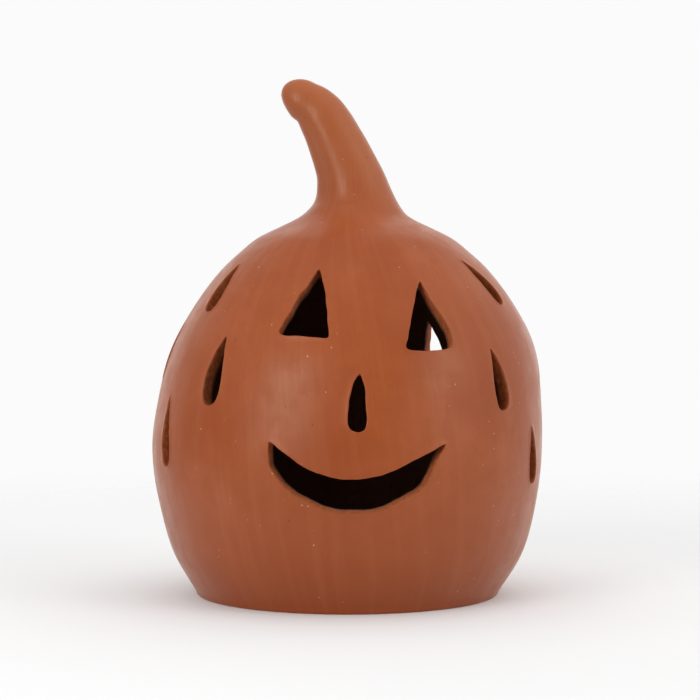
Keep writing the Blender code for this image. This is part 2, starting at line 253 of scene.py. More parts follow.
class Cut:
    """One opening: its outline in metres (across, up) from its centre on the dome."""

    def __init__(self, dome, azimuth, height, sides, flare):
        self.azimuth = math.radians(azimuth)
        self.base = dome.run_at(height * MM)
        self.dome = dome
        self.flare = flare
        self.line = np.vstack([even_steps(smooth_through(side, 24) * MM) for side in sides])
        self.line = self.line + self.normals() * self.slips(azimuth)[:, None]
        beside = np.roll(self.line, 1, 0) + np.roll(self.line, -1, 0)
        self.line = (1 - 2 * SOFTENING) * self.line + SOFTENING * beside

    def slips(self, seed):
        """How far the knife strays outwards at each point of the outline."""
        strays = []
        for place in self.line:
            wander = noise.noise(Vector((*(place / KNIFE_WANDER), seed)))
            chatter = noise.noise(Vector((*(place / KNIFE_CHATTER), seed)))
            strays.append((wander + 0.5 * chatter) * KNIFE_SLIP)
        return np.array(strays)

    def normals(self):
        """Directions away from the opening, across the skin."""
        tangent = np.roll(self.line, -1, 0) - np.roll(self.line, 1, 0)
        tangent /= np.linalg.norm(tangent, axis=1)[:, None]
        return np.stack([tangent[:, 1], -tangent[:, 0]], axis=1)

    def ring(self, away):
        """(azimuth, run) of the outline moved away over the skin."""
        line = self.line + self.normals() * away
        run = self.base + line[:, 1]
        radius = self.dome.section(run)[:, 0]
        return self.azimuth + line[:, 0] / radius, run

    def wall(self):
        """(away, out) rows over the rolled edge and through the wall, from the outer skin to the inner."""
        rows = [(EDGE_ROLL * 2.6, 0.0), (EDGE_ROLL * 1.9, EDGE_RISE * 0.6), (EDGE_ROLL * 1.3, EDGE_RISE)]
        for step in range(7):
            turn = math.pi / 2 * step / 6
            out = EDGE_RISE - (EDGE_ROLL + EDGE_RISE) * (1 - math.cos(turn))
            rows.append((EDGE_ROLL * (1 - math.sin(turn)), out))
        for share in (0.2, 0.4, 0.6, 0.8):
            rows.append((0.0, -EDGE_ROLL + (INNER_ROLL - WALL + EDGE_ROLL) * share))
        for step in range(4):
            turn = math.pi / 2 * step / 3
            rows.append((INNER_ROLL * (1 - math.cos(turn)), -WALL + INNER_ROLL * (1 - math.sin(turn))))
        rows.append((INNER_ROLL * 2.2, -WALL))
        return rows


def teardrop(width, height):
    """A drop with its point up, as one closed side that starts and ends at the point."""
    turns = -np.linspace(0, 2 * math.pi, 41)
    below = (1 - np.cos(turns)) / 2
    across = np.sign(np.sin(turns)) * below * (1 - below) ** DROP_BLUNTNESS
    across[[0, 20, 40]] = 0.0
    return np.stack([width / 2 * across / across.max(), height / 2 * np.cos(turns)], axis=1)


def face_cuts(dome):
    """The eyes, nose and mouth, with outlines in millimetres, run anticlockwise side by side."""
    left_eye = (
        ((-10.8, 0.9), (-8.6, -0.6), (0.0, -0.9), (9.8, -1.7), (10.9, -1.1)),
        ((10.9, -1.1), (9.1, 6.4), (7.4, 13.2), (6.0, 18.4), (3.7, 25.6), (1.2, 31.6)),
        ((1.2, 31.6), (-0.4, 27.2), (-2.6, 21.6), (-5.2, 16.8), (-6.7, 11.6), (-8.7, 6.2), (-10.8, 0.9)),
    )
    right_eye = (
        ((-10.9, 0.1), (-9.1, -0.8), (-1.9, -1.4), (5.8, -0.9), (10.0, 0.4)),
        ((10.0, 0.4), (10.2, 5.0), (9.4, 9.0), (6.7, 15.8), (4.2, 21.9), (2.3, 31.3)),
        ((2.3, 31.3), (-1.5, 24.0), (-5.1, 15.6), (-8.4, 6.8), (-10.9, 0.1)),
    )
    nose = (
        ((-0.4, 12.1), (-2.1, 9.6), (-3.2, 6.2), (-4.0, 1.4), (-4.3, -5.8), (-3.6, -9.6), (-0.1, -11.5)),
        ((-0.1, -11.5), (2.6, -10.6), (3.4, -8.0), (3.1, -4.4), (2.3, 1.4), (1.6, 6.6), (-0.4, 12.1)),
    )
    mouth = (
        ((-36.2, 1.8), (-36.1, -3.6), (-35.0, -9.0), (-27.5, -17.8), (-18.4, -22.9),
         (-10.3, -25.9), (-0.4, -26.9), (9.6, -26.1), (17.8, -22.4), (27.0, -17.5),
         (30.6, -12.7), (33.6, -6.2), (37.6, 0.3)),
        ((37.6, 0.3), (24.0, -5.9), (15.6, -9.8), (6.3, -12.4), (-1.6, -13.1),
         (-10.4, -12.2), (-20.5, -8.8), (-27.5, -4.2), (-36.2, 1.8)),
    )
    return [
        Cut(dome, *EYE_LEFT, left_eye, EYE_LEFT_FLARE),
        Cut(dome, *EYE_RIGHT, right_eye, EYE_RIGHT_FLARE),
        Cut(dome, *NOSE, nose, NOSE_FLARE),
        Cut(dome, *MOUTH, mouth, MOUTH_FLARE),
    ]


def light_holes(dome):
    """Three rows of drop-shaped holes round the sides and back. Those seen from the front are flared."""
    holes = []
    for azimuth, height, lean, width, length in LIGHT_HOLES:
        c, s = math.cos(math.radians(lean)), math.sin(math.radians(lean))
        drop = teardrop(width, length) @ np.array([[c, s], [-s, c]])
        flare = HOLE_FLARE if abs(azimuth) < FLARED_TO else 0.0
        holes.append(Cut(dome, azimuth, height, [drop], flare))
    return holes


def inside_outline(points, outline):
    """Which points lie inside a closed outline."""
    x, y = points[:, 0:1], points[:, 1:2]
    x0, y0 = outline[:, 0], outline[:, 1]
    x1, y1 = np.roll(x0, -1), np.roll(y0, -1)
    spans = (y0 > y) != (y1 > y)
    height = np.where(y1 == y0, 1.0, y1 - y0)
    return (spans & (x < (x1 - x0) * (y - y0) / height + x0)).sum(axis=1) % 2 == 1


def in_scene(name, data):
    """A smooth-shaded piece of this mesh, put in the scene."""
    data.shade_smooth()
    piece = bpy.data.objects.new(name, data)
    bpy.context.scene.collection.objects.link(piece)
    return piece


class Mesh:
    """Points, each with how raw its clay is, and the faces between them.

    Raw is 0 on the burnished skin, 1 on the wall of a cut and 2 on the inside, which is painted dark as
    shade.
    """

    def __init__(self):
        self.places = []
        self.raw = []
        self.faces = []
        self.count = 0

    def add(self, places, raw):
        """Add points and return their numbers."""
        places = np.asarray(places, float).reshape(-1, 3)
        self.places.append(places)
        self.raw.append(np.broadcast_to(raw, len(places)).astype(float))
        self.count += len(places)
        return np.arange(self.count - len(places), self.count)

    def strip(self, first, second):
        """Quads between two closed rings of equal count, facing out when second is above first."""
        for a, b, c, d in zip(first, np.roll(first, -1), np.roll(second, -1), second):
            self.faces.append((a, b, c, d))

    def fan(self, ring, centre):
        for a, b in zip(ring, np.roll(ring, -1)):
            self.faces.append((a, b, centre))


def lost_to_cut(grid, outline):
    """The numbers of the grid's points that lie inside an outline or too close to it."""
    near = np.abs(grid - outline.mean(axis=0)).max(axis=1) < CUT_REACH
    index = np.nonzero(near)[0]
    gap = np.linalg.norm(grid[index][:, None] - outline[None], axis=2).min(axis=1)
    return index[(gap < CUT_GAP) | inside_outline(grid[index], outline)]


def edge_ring(cut, out):
    """The cut's outermost ring on the outer skin, or on the inner one, rolled out flat."""
    away, _ = cut.wall()[0] if out == 0 else cut.wall()[-1]
    azimuth, run = cut.ring(away - cut.flare * out / WALL)
    return np.stack([((azimuth - SEAM) % (2 * math.pi)) * BELLY, run], axis=1)


def holed_band(mesh, dome, cuts, top_run, out, row_step, flip):
    """The dome from the foot up to top_run, rolled out flat and triangulated round the cuts."""
    rows = int(round(top_run / row_step))
    azimuths = np.linspace(0, 2 * math.pi, COLUMNS + 1)
    runs = np.linspace(0, top_run, rows + 1)
    grid = np.stack(np.meshgrid(azimuths * BELLY, runs), axis=-1).reshape(-1, 2)
    rim = np.zeros((rows + 1, COLUMNS + 1), bool)
    rim[0] = rim[-1] = True
    rim[:, 0] = rim[:, -1] = True
    keep = np.ones(len(grid), bool)
    outlines = [edge_ring(cut, out) for cut in cuts]
    for outline in outlines:
        keep[lost_to_cut(grid, outline)] = False
    points = np.vstack([grid[keep | rim.reshape(-1)], *outlines])
    edges = []
    start = len(points) - sum(len(outline) for outline in outlines)
    for outline in outlines:
        edges += [(start + i, start + (i + 1) % len(outline)) for i in range(len(outline))]
        start += len(outline)
    flat, _, faces, *_ = delaunay_2d_cdt([Vector(p) for p in points], edges, [], 0, 1e-9)
    flat = np.array([tuple(p) for p in flat])
    faces = np.array(faces)
    middle = flat[faces].mean(axis=1)
    solid = np.ones(len(faces), bool)
    for outline in outlines:
        solid &= ~inside_outline(middle, outline)
    places = dome.points(flat[:, 0] / BELLY + SEAM, flat[:, 1], out)
    # The inner skin is at 2, the painted shade of the inside.
    numbers = mesh.add(places, 0.0 if out == 0 else 2.0)
    for a, b, c in numbers[faces[solid]]:
        mesh.faces.append((c, b, a) if flip else (a, b, c))


def rawness_and_shade(out):
    """How raw the clay is at a depth in a cut's wall, with painted shade deeper in: 0 at the skin, 1 past
    the edge, 2 well inside.
    """
    torn = np.clip((-out - 0.35 * EDGE_ROLL) / (0.9 * EDGE_ROLL), 0, 1)
    # Painted shade: from past halfway through the wall, it darkens towards the inside.
    painted_shade = np.clip((-out / WALL - 0.55) / 0.4, 0, 1)
    return torn + painted_shade


def cut_walls(mesh, dome, cuts):
    """The rolled edge and the wall of every cut."""
    for cut in cuts:
        above = None
        for away, out in cut.wall():
            azimuth, run = cut.ring(away + cut.flare * max(0.0, -out) / WALL)
            ring = mesh.add(dome.points(azimuth, run, out), rawness_and_shade(out))
            if above is not None:
                mesh.strip(above, ring)
            above = ring


def ring_azimuths():
    return SEAM + np.arange(COLUMNS) / COLUMNS * 2 * math.pi


def foot_rows(dome):
    """(radius, height) round the foot, from the outer skin's lowest ring under to the inner skin's."""
    outer, inner = dome.section(np.array([0.0, 0.0]), np.array([0.0, -WALL]))
    rows = []
    for turn in np.linspace(15, 90, 5):
        t = math.radians(turn)
        rows.append((outer[0] - FOOT_ROLL * (1 - math.cos(t)), outer[1] * (1 - math.sin(t))))
    inner_edge = inner[0] + 0.2 * MM
    flat_start = rows[-1][0]
    flat_end = inner_edge + INNER_FOOT_ROLL
    for share in (0.25, 0.5, 0.75):
        rows.append((flat_start + (flat_end - flat_start) * share, 0.0))
    for turn in (0, 45, 80):
        t = math.radians(turn)
        rows.append((inner_edge + INNER_FOOT_ROLL * (1 - math.sin(t)), INNER_FOOT_ROLL * (1 - math.cos(t))))
    return rows


def foot(mesh, dome):
    """The flat ring that the body stands on, with both its edges eased."""
    azimuth = ring_azimuths()
    above = mesh.add(dome.points(azimuth, np.zeros(COLUMNS)), 0.0)
    for number, (radius, height) in enumerate(foot_rows(dome)):
        level = np.full(COLUMNS, height)
        places = np.stack([radius * np.sin(azimuth), -radius * np.cos(azimuth), level], axis=1)
        # The rows under the foot run from the burnished skin up to 2, the painted shade of the inside.
        ring = mesh.add(places, 0.2 * number)
        mesh.strip(ring, above)
        above = ring
    mesh.strip(mesh.add(dome.points(azimuth, np.zeros(COLUMNS), -WALL), 2.0), above)


def stem_section(azimuth, share):
    """How far each side of the stem stands out of round. It fades out towards the dome and the tip."""
    turn = np.degrees((azimuth + math.pi) % (2 * math.pi) - math.pi)
    strength = math.sin(math.pi * min(1.0, max(0.0, (share - 0.08) / 0.84))) ** 0.6
    relief = 0.0
    for middle, width, rise in (STEM_RIDGE, STEM_FLAT):
        relief = relief + rise * np.exp(-(((turn - middle) / width) ** 2))
    return 1 + strength * relief


def stem_spine(dome, top_run):
    """(across, height, radius, tilt in degrees) of each ring from the dome to the tip."""
    reach = STEM_REACH - CROWN_DRIFT
    rise = STEM_TOP - SEAT
    start = dome.section(np.array([top_run - 3 * MM, top_run]))
    stations = [(0.0, height, radius, 0.0) for radius, height in start]
    stations += [(-abs(reach) * x, SEAT + rise * z, r * MM, tilt) for x, z, r, tilt in NECK]
    spine = [tuple(row) for row in smooth_through(stations, NECK_STEPS)[NECK_STEPS:]]
    x, z, r, tilt = spine[-1]
    for turn in np.radians(np.linspace(9, 88, 12)):
        ahead = TIP_ROUND * math.sin(turn)
        bent = tilt + TIP_TURN * math.sin(turn)
        heading = math.radians((tilt + bent) / 2)
        centre = (x - math.sin(heading) * ahead, z + math.cos(heading) * ahead)
        spine.append((*centre, r * math.cos(turn), bent))
    return spine


def neck_and_stem(mesh, dome, top_run):
    """The flare, the bent stem and its blunt tip."""
    azimuth = ring_azimuths()
    spine = stem_spine(dome, top_run)
    below = None
    for x, z, r, tilt in spine:
        heading = math.radians(tilt)
        radius = r * stem_section(azimuth, (z - SEAT) / (STEM_TOP - SEAT))
        side = radius * np.sin(azimuth)
        across = x + CROWN_DRIFT + side * math.cos(heading)
        height = z + side * math.sin(heading)
        ring = mesh.add(np.stack([across, -radius * np.cos(azimuth), height], axis=1), 0.0)
        if below is not None:
            mesh.strip(below, ring)
        below = ring
    x, z, _, tilt = spine[-1]
    heading = math.radians(tilt)
    ahead = 0.1 * MM
    tip = (x + CROWN_DRIFT - math.sin(heading) * ahead, 0.0, z + math.cos(heading) * ahead)
    mesh.fan(below, mesh.add([tip], 0.0)[0])


def inner_crown(mesh, dome, top_run):
    """The dome's underside over the candle, all of it at 2, the painted shade of the inside."""
    azimuth = ring_azimuths()
    below = mesh.add(dome.points(azimuth, np.full(COLUMNS, top_run), -WALL), 2.0)
    last = dome.run[-1]
    for run in np.linspace(top_run, last, 18)[1:]:
        ring = mesh.add(dome.points(azimuth, np.full(COLUMNS, run), -WALL), 2.0)
        mesh.strip(ring, below)
        below = ring
    edge = dome.section(np.array([last]), np.array([-WALL]))[0]
    level = np.full(COLUMNS, edge[1])
    for share in (0.75, 0.5, 0.25, 0.08):
        radius = edge[0] * share
        across = radius * np.sin(azimuth) + CROWN_DRIFT
        ring = mesh.add(np.stack([across, -radius * np.cos(azimuth), level], axis=1), 2.0)
        mesh.strip(ring, below)
        below = ring
    centre = mesh.add([(CROWN_DRIFT, 0.0, edge[1])], 2.0)
    mesh.fan(below[::-1], centre[0])


def hand_made(places, raw):
    """Soft hollows left by the hands, and the torn grain of the cut clay."""
    moved = places.copy()
    for i, (place, cut) in enumerate(zip(places, raw)):
        here = Vector(place)
        grip = min(1.0, max(0.0, place[2] / LEVEL_FOOT))
        moved[i] += np.array(noise.noise_vector(here / HOLLOW_SPAN)) * HOLLOW_DEPTH * grip
        moved[i] += np.array(noise.noise_vector(here / DENT_SPAN + Vector((9, 4, 2)))) * DENT_DEPTH * grip
        if cut > 0:
            moved[i] += np.array(noise.noise_vector(here / TORN_SPAN)) * TORN_DEPTH * min(cut, 1) * grip
    return moved


def clay_skin():
    """The whole of the fired clay as one closed mesh."""
    dome = Dome()
    cuts = face_cuts(dome) + light_holes(dome)
    mesh = Mesh()
    top_run = dome.run_at(SKIN_TOP * SEAT)
    holed_band(mesh, dome, cuts, top_run, 0.0, GRID, False)
    holed_band(mesh, dome, cuts, top_run, -WALL, GRID * 1.5, True)
    cut_walls(mesh, dome, cuts)
    foot(mesh, dome)
    neck_and_stem(mesh, dome, top_run)
    inner_crown(mesh, dome, top_run)
    raw = np.concatenate(mesh.raw)
    places = hand_made(np.vstack(mesh.places), raw)
    data = bpy.data.meshes.new("clay_pumpkin")
    data.from_pydata(places.tolist(), [], [tuple(int(i) for i in face) for face in mesh.faces])
    # How raw the clay is, and where the inside is painted dark as shade.
    layer = data.attributes.new("raw_clay_and_shade", "FLOAT", "POINT")
    layer.data.foreach_set("value", raw)
    bm = bmesh.new()
    bm.from_mesh(data)
    bmesh.ops.remove_doubles(bm, verts=bm.verts, dist=2e-6)
    bm.to_mesh(data)
    bm.free()
    return in_scene("clay_pumpkin", data)


# ---------------------------------------------------------------- materials
class Nodes:
    """A node tree, filled by short calls."""

    def __init__(self, tree):
        self.tree = tree

    def node(self, kind, links=None, **settings):
        """A node with its settings made and its sockets linked or set."""
        made = self.tree.nodes.new(kind)
        for key, value in settings.items():
            setattr(made, key, value)
        for key, value in (links or {}).items():
            self.feed(made.inputs[key], value)
        return made

    def feed(self, socket, value):
        """Link a socket to another, or set it."""
        if isinstance(value, bpy.types.NodeSocket):
            self.tree.links.new(value, socket)
        else:
            socket.default_value = value

    def math(self, operation, *values):
        return self.node("ShaderNodeMath", dict(enumerate(values)), operation=operation).outputs[0]

    def band(self, value, low, high, to_low=0.0, to_high=1.0):
        """The value's stretch from low to high, eased and carried over to another range."""
        links = {"Value": value, "From Min": low, "From Max": high, "To Min": to_low, "To Max": to_high}
        return self.node("ShaderNodeMapRange", links, interpolation_type="SMOOTHSTEP").outputs[0]


class Surface(Nodes):
    """A material, made from noise in its piece's own space."""

    def __init__(self, name):
        self.material = bpy.data.materials.new(name)
        self.material.use_nodes = True
        super().__init__(self.material.node_tree)
        self.shader = self.tree.nodes["Principled BSDF"]
        self.place = self.node("ShaderNodeTexCoord").outputs["Object"]

    def noise(self, scale, detail=3.0, rough=0.5, at=None, stretch=0.0):
        links = {"Vector": at or self.place, "Scale": scale, "Detail": detail, "Roughness": rough}
        links["Distortion"] = stretch
        return self.node("ShaderNodeTexNoise", links).outputs["Fac"]

    def mix(self, share, first, second):
        made = self.node("ShaderNodeMix", {0: share, 6: first, 7: second}, data_type="RGBA")
        return made.outputs[2]

    def bump(self, height, distance):
        return self.node("ShaderNodeBump", {"Height": height, "Distance": distance}).outputs[0]

    def finish(self, **sockets):
        """Set the shader's sockets, named with _ for a space, and return the material."""
        for key, value in sockets.items():
            self.feed(self.shader.inputs[key.replace("_", " ")], value)
        return self.material


CLAY_WARM = (0.395, 0.089, 0.025, 1)
CLAY_DEEP = (0.340, 0.068, 0.016, 1)
# Pale bloom, also used as painted light on the neck and stem.
CLAY_BLOOM_AND_PAINTED_LIGHT = (0.450, 0.130, 0.048, 1)
# Painted shade for the foot.
CLAY_FOOT_PAINTED_SHADE = (0.290, 0.062, 0.018, 1)
CLAY_CUT = (0.520, 0.150, 0.042, 1)
# Painted shade: the near-black of the inside and of the cut walls deep in.
CLAY_PAINTED_SHADE = (0.085, 0.034, 0.018, 1)
CLAY_PIT = (0.090, 0.030, 0.016, 1)
CLAY_SPECK = (0.700, 0.420, 0.260, 1)


def clouded_clay(n, patches):
    """The fired clay's colour: clouds, blooms and patches, with painted shade darker at the foot and painted
    light paler at the crown.
    """
    clouds = n.noise(16, 4, 0.55)
    bloom = n.noise(27, 3, 0.6, stretch=0.6)
    height = n.node("ShaderNodeSeparateXYZ", {0: n.place}).outputs[2]
    colour = n.mix(n.band(clouds, 0.36, 0.62), CLAY_DEEP, CLAY_WARM)
    colour = n.mix(n.band(bloom, 0.50, 0.80, 0.0, 0.42), colour, CLAY_BLOOM_AND_PAINTED_LIGHT)
    colour = n.mix(n.band(patches, 0.40, 0.66, 0.0, 0.50), colour, CLAY_DEEP)
    # Painted shade: darker towards the foot.
    colour = n.mix(n.band(height, 0.09, 0.0, 0.0, 0.8), colour, CLAY_FOOT_PAINTED_SHADE)
    # Painted light: paler over the neck and stem.
    return n.mix(n.band(height, 0.15, 0.19, 0.0, 0.85), colour, CLAY_BLOOM_AND_PAINTED_LIGHT)


def stroke_space(n):
    """A space pulled long up the body, for the marks of the burnishing stone. It leans a little."""
    axes = n.node("ShaderNodeSeparateXYZ", {0: n.place}).outputs
    turn = n.math("ARCTAN2", axes[0], n.math("MULTIPLY", axes[1], -1.0))
    lean = n.math("ADD", n.math("MULTIPLY", turn, 0.08), n.math("MULTIPLY", axes[2], 0.10))
    return n.node("ShaderNodeCombineXYZ", {0: lean, 1: n.math("MULTIPLY", axes[2], 0.06)}).outputs[0]


def grit(n):
    """Where pale grains and small pits are, as two shares from 0 to 1."""
    cells = n.node("ShaderNodeTexVoronoi", {"Vector": n.place, "Scale": 420.0, "Randomness": 1.0})
    chance = n.node("ShaderNodeSeparateColor", {0: cells.outputs["Color"]}).outputs
    ragged = n.math("MULTIPLY", n.math("SUBTRACT", n.noise(1300, 2), 0.5), 0.22)
    close = n.math("ADD", cells.outputs["Distance"], ragged)
    speck = n.math("MULTIPLY", n.band(close, 0.17, 0.06), n.band(chance[0], 0.84, 0.96))
    strewn = n.band(n.noise(60, 2), 0.42, 0.60)
    pit = n.math("MULTIPLY", n.band(close, 0.17, 0.08), n.band(chance[1], 0.985, 0.99))
    return n.math("MULTIPLY", speck, strewn), pit


def clay_material():
    """Burnished terracotta with polishing strokes, pits and pale grit, coarse where cut, and painted dark
    inside as shade.
    """
    n = Surface("burnished_terracotta")
    raw = n.node("ShaderNodeAttribute", attribute_name="raw_clay_and_shade").outputs["Fac"]
    cut = n.band(raw, 0.15, 0.85)
    # Where the inside is painted dark as shade.
    inside = n.band(raw, 1.15, 1.9)
    patches = n.noise(85, 3, 0.6, stretch=0.3)
    along_strokes = stroke_space(n)
    strokes = n.noise(620, 3, 0.6, at=along_strokes)
    wide_strokes = n.noise(170, 2, 0.5, at=along_strokes)
    speck, pit = grit(n)
    grain = n.noise(1500, 3, 0.65)
    coarse = n.noise(480, 4, 0.7)

    colour = clouded_clay(n, patches)
    colour = n.mix(n.band(strokes, 0.42, 0.62, 0.0, 0.22), colour, CLAY_DEEP)
    colour = n.mix(n.band(wide_strokes, 0.45, 0.70, 0.0, 0.16), colour, CLAY_BLOOM_AND_PAINTED_LIGHT)
    colour = n.mix(n.math("MULTIPLY", speck, 0.8), colour, CLAY_SPECK)
    colour = n.mix(n.math("MULTIPLY", pit, 0.8), colour, CLAY_PIT)
    cut_colour = n.mix(n.band(coarse, 0.35, 0.68), CLAY_DEEP, CLAY_CUT)
    colour = n.mix(n.math("MULTIPLY", cut, 0.85), colour, cut_colour)
    # Painted shade over the inside.
    colour = n.mix(n.math("MULTIPLY", inside, 0.9), colour, CLAY_PAINTED_SHADE)

    polish = n.math("ADD", n.band(strokes, 0.3, 0.7, 0.33, 0.38), n.band(patches, 0.36, 0.64, -0.04, 0.06))
    polish = n.math("ADD", polish, n.math("MULTIPLY", cut, 0.52))
    height = n.math("ADD", n.math("MULTIPLY", strokes, 0.30), n.math("MULTIPLY", wide_strokes, 0.55))
    height = n.math("ADD", height, n.math("MULTIPLY", grain, 0.16))
    height = n.math("SUBTRACT", height, n.math("MULTIPLY", pit, 1.2))
    height = n.math("ADD", height, n.math("MULTIPLY", n.math("MULTIPLY", coarse, cut), 2.4))
    return n.finish(
        Base_Color=colour,
        Roughness=n.math("MINIMUM", polish, 0.95),
        Normal=n.bump(height, 0.00012),
        IOR=1.46,
        Specular_IOR_Level=0.45,
        Specular_Tint=(1.0, 0.86, 0.70, 1),
        Sheen_Weight=0.14,
        Sheen_Roughness=0.45,
        Sheen_Tint=(1.0, 0.68, 0.46, 1),
    )


def aluminium_material():
    """Thin drawn foil: fine scratches and the faint dull patches of handling."""
    n = Surface("drawn_aluminium")
    drawn = n.node("ShaderNodeMapping", {"Vector": n.place, "Scale": (1.0, 1.0, 0.06)}).outputs[0]
    lines = n.noise(2600, 3, 0.6, at=drawn)
    smear = n.noise(150, 3, 0.6)
    dents = n.noise(190, 2, 0.5)
    colour = n.mix(n.band(smear, 0.35, 0.7), (0.86, 0.87, 0.88, 1), (0.74, 0.75, 0.77, 1))
    rough = n.math("ADD", n.band(smear, 0.3, 0.7, 0.20, 0.34), n.band(lines, 0.3, 0.7, 0.0, 0.08))
    normal = n.bump(n.math("ADD", n.math("MULTIPLY", lines, 0.15), dents), 0.00015)
    return n.finish(Base_Color=colour, Roughness=rough, Normal=normal, Metallic=1.0)


def tin_material():
    """Stamped tinplate, duller than the cup."""
    n = Surface("stamped_tinplate")
    spots = n.noise(900, 4, 0.7)
    colour = n.mix(n.band(spots, 0.35, 0.7), (0.62, 0.61, 0.58, 1), (0.47, 0.46, 0.44, 1))
    normal = n.bump(spots, 0.00005)
    rough = n.band(spots, 0.3, 0.7, 0.30, 0.48)
    return n.finish(Base_Color=colour, Roughness=rough, Normal=normal, Metallic=1.0)


def wax_material():
    """Pressed paraffin: bone white, cloudy, with a fine frosting."""
    n = Surface("paraffin_wax")
    cloud = n.noise(260, 4, 0.6)
    frost = n.noise(2100, 3, 0.6)
    colour = n.mix(n.band(cloud, 0.3, 0.7), (0.90, 0.88, 0.82, 1), (0.83, 0.80, 0.73, 1))
    height = n.math("ADD", n.math("MULTIPLY", frost, 0.4), cloud)
    return n.finish(
        Base_Color=colour,
        Roughness=n.band(frost, 0.3, 0.7, 0.32, 0.5),
        Normal=n.bump(height, 0.00010),
        Subsurface_Weight=0.35,
        Subsurface_Radius=(0.004, 0.0032, 0.0024),
        Subsurface_Scale=1.0,
        IOR=1.43,
    )


def cotton_material():
    """Waxed cotton yarn."""
    n = Surface("waxed_cotton")
    fibres = n.noise(5200, 3, 0.6)
    colour = n.mix(n.band(fibres, 0.3, 0.7), (0.80, 0.77, 0.69, 1), (0.66, 0.62, 0.53, 1))
    rough = n.band(fibres, 0.3, 0.7, 0.55, 0.8)
    return n.finish(Base_Color=colour, Roughness=rough, Normal=n.bump(fibres, 0.00012))


def paper_material():
    """The matt white sheet that the object stands on. Far off it fades into the white surroundings.

    It is whole under the foot and lets a little of the surroundings through beyond it.
    """
    n = Surface("white_paper")
    tooth = n.noise(900, 3, 0.6)
    tone = n.noise(3, 2, 0.5)
    colour = n.mix(n.band(tone, 0.3, 0.7), (0.94, 0.94, 0.94, 1), (0.92, 0.92, 0.92, 1))
    distance = n.node("ShaderNodeVectorMath", {0: n.place}, operation="LENGTH").outputs["Value"]
    foot_radius = BELLY * DOME[-1][0]
    body = n.band(distance, foot_radius - WALL, foot_radius, 1.0, PAPER_BODY)
    fade = n.band(distance, PAPER_WHOLE, PAPER_GONE, 1.0, 0.0)
    return n.finish(
        Base_Color=colour,
        Roughness=n.band(tooth, 0.3, 0.7, 0.80, 0.92),
        Normal=n.bump(tooth, 0.00005),
        Alpha=n.math("MULTIPLY", body, fade),
        Specular_IOR_Level=0.2,
    )


# ---------------------------------------------------------------- tea light
CUP_METAL = 0.4 * MM
CUP_CORNER = 1.2 * MM
CUP_LIP = 0.6 * MM
FLUTES = 36
FLUTE_DEPTH = 0.12 * MM
WAX_LOW_ROLL = 1.2 * MM
WAX_TOP_ROLL = 0.8 * MM
WAX_DISH = 0.7 * MM
YARNS = 3
YARN_TURNS = 2.6


def lathe(name, rows, sectors, wave=None):
    """A body turned from (radius, height) rows, each moved out by wave(turn, its number).

    It is closed where its rows start and end on the axis.
    """
    mesh = bmesh.new()
    below = None
    for number, (radius, height) in enumerate(rows):
        if radius < 1e-7:
            ring = [mesh.verts.new((0, 0, height))] * sectors
        else:
            ring = []
            for i in range(sectors):
                turn = 2 * math.pi * i / sectors
                out = radius + (wave(turn, number) if wave else 0.0)
                ring.append(mesh.verts.new((out * math.sin(turn), -out * math.cos(turn), height)))
        if below:
            for i in range(sectors):
                j = (i + 1) % sectors
                corners = [below[i], below[j], ring[j], ring[i]]
                mesh.faces.new(list(dict.fromkeys(corners)))
        below = ring
    data = bpy.data.meshes.new(name)
    mesh.to_mesh(data)
    mesh.free()
    return in_scene(name, data)


def round_over(middle, radius, start, end, steps):
    """Points on an arc, its angles in degrees from straight out."""
    turns = np.radians(np.linspace(start, end, steps))
    return [(middle[0] + radius * math.cos(t), middle[1] + radius * math.sin(t)) for t in turns]


def tea_light_cup():
    """The drawn cup, with a rolled lip and shallow flutes pressed round its side."""
    radius = CUP_HIGH.x - CUP_LIP - 0.1 * MM
    base = CUP_LOW.z
    depth = CUP_HIGH.z - base
    under = base + 0.5 * MM
    inside = base + 0.9 * MM
    outer = [(0.0, under), (radius - 4.0 * MM, under), (radius - 3.4 * MM, base)]
    outer += round_over((radius - CUP_CORNER, base + CUP_CORNER), CUP_CORNER, -90, 0, 6)
    outer += [(radius, base + depth * share) for share in (0.25, 0.5, 0.75, 0.86)]
    lip = round_over((radius + 0.1 * MM, CUP_HIGH.z - CUP_LIP), CUP_LIP, -80, 180, 12)
    inner = [(radius - CUP_METAL, base + depth * share) for share in (0.86, 0.75, 0.5, 0.25)]
    corner = (radius - CUP_METAL - CUP_CORNER, base + CUP_METAL + CUP_CORNER)
    inner += round_over(corner, CUP_CORNER, 0, -90, 6)
    inner += [(radius - 3.6 * MM, base + 0.42 * MM), (radius - 4.3 * MM, inside), (0.0, inside)]
    rows = outer + lip + inner
    fluted = (radius - 0.9 * MM, radius + 0.05 * MM)

    def press(turn, number):
        reach, height = rows[number]
        if not fluted[0] < reach < fluted[1] or height > base + 0.8 * depth:
            return 0.0
        return -FLUTE_DEPTH * (0.5 + 0.5 * math.cos(FLUTES * turn))

    return lathe("tea_light_cup", rows, 180, press)


def tea_light_wax():
    """The wax block: eased rim, a shallow dish and a slight rise where it was poured against the wick."""
    radius = WAX_HIGH.x
    top = WAX_HIGH.z
    base = WAX_LOW.z
    rows = [(0.0, base), (radius - WAX_LOW_ROLL, base)]
    rows += round_over((radius - WAX_LOW_ROLL, base + WAX_LOW_ROLL), WAX_LOW_ROLL, -80, 0, 5)
    rows += round_over((radius - WAX_TOP_ROLL, top - WAX_TOP_ROLL), WAX_TOP_ROLL, 0, 90, 6)
    for share in (0.9, 0.75, 0.6, 0.45, 0.3, 0.18):
        rows.append((radius * share, top - WAX_DISH * (1 - share**4)))
    rows += [(1.9 * MM, top - 0.65 * MM), (1.35 * MM, top - 0.45 * MM), (1.15 * MM, top - 0.9 * MM)]
    rows += [(0.0, top - 1.0 * MM)]
    return lathe("tea_light_wax", rows, 96)


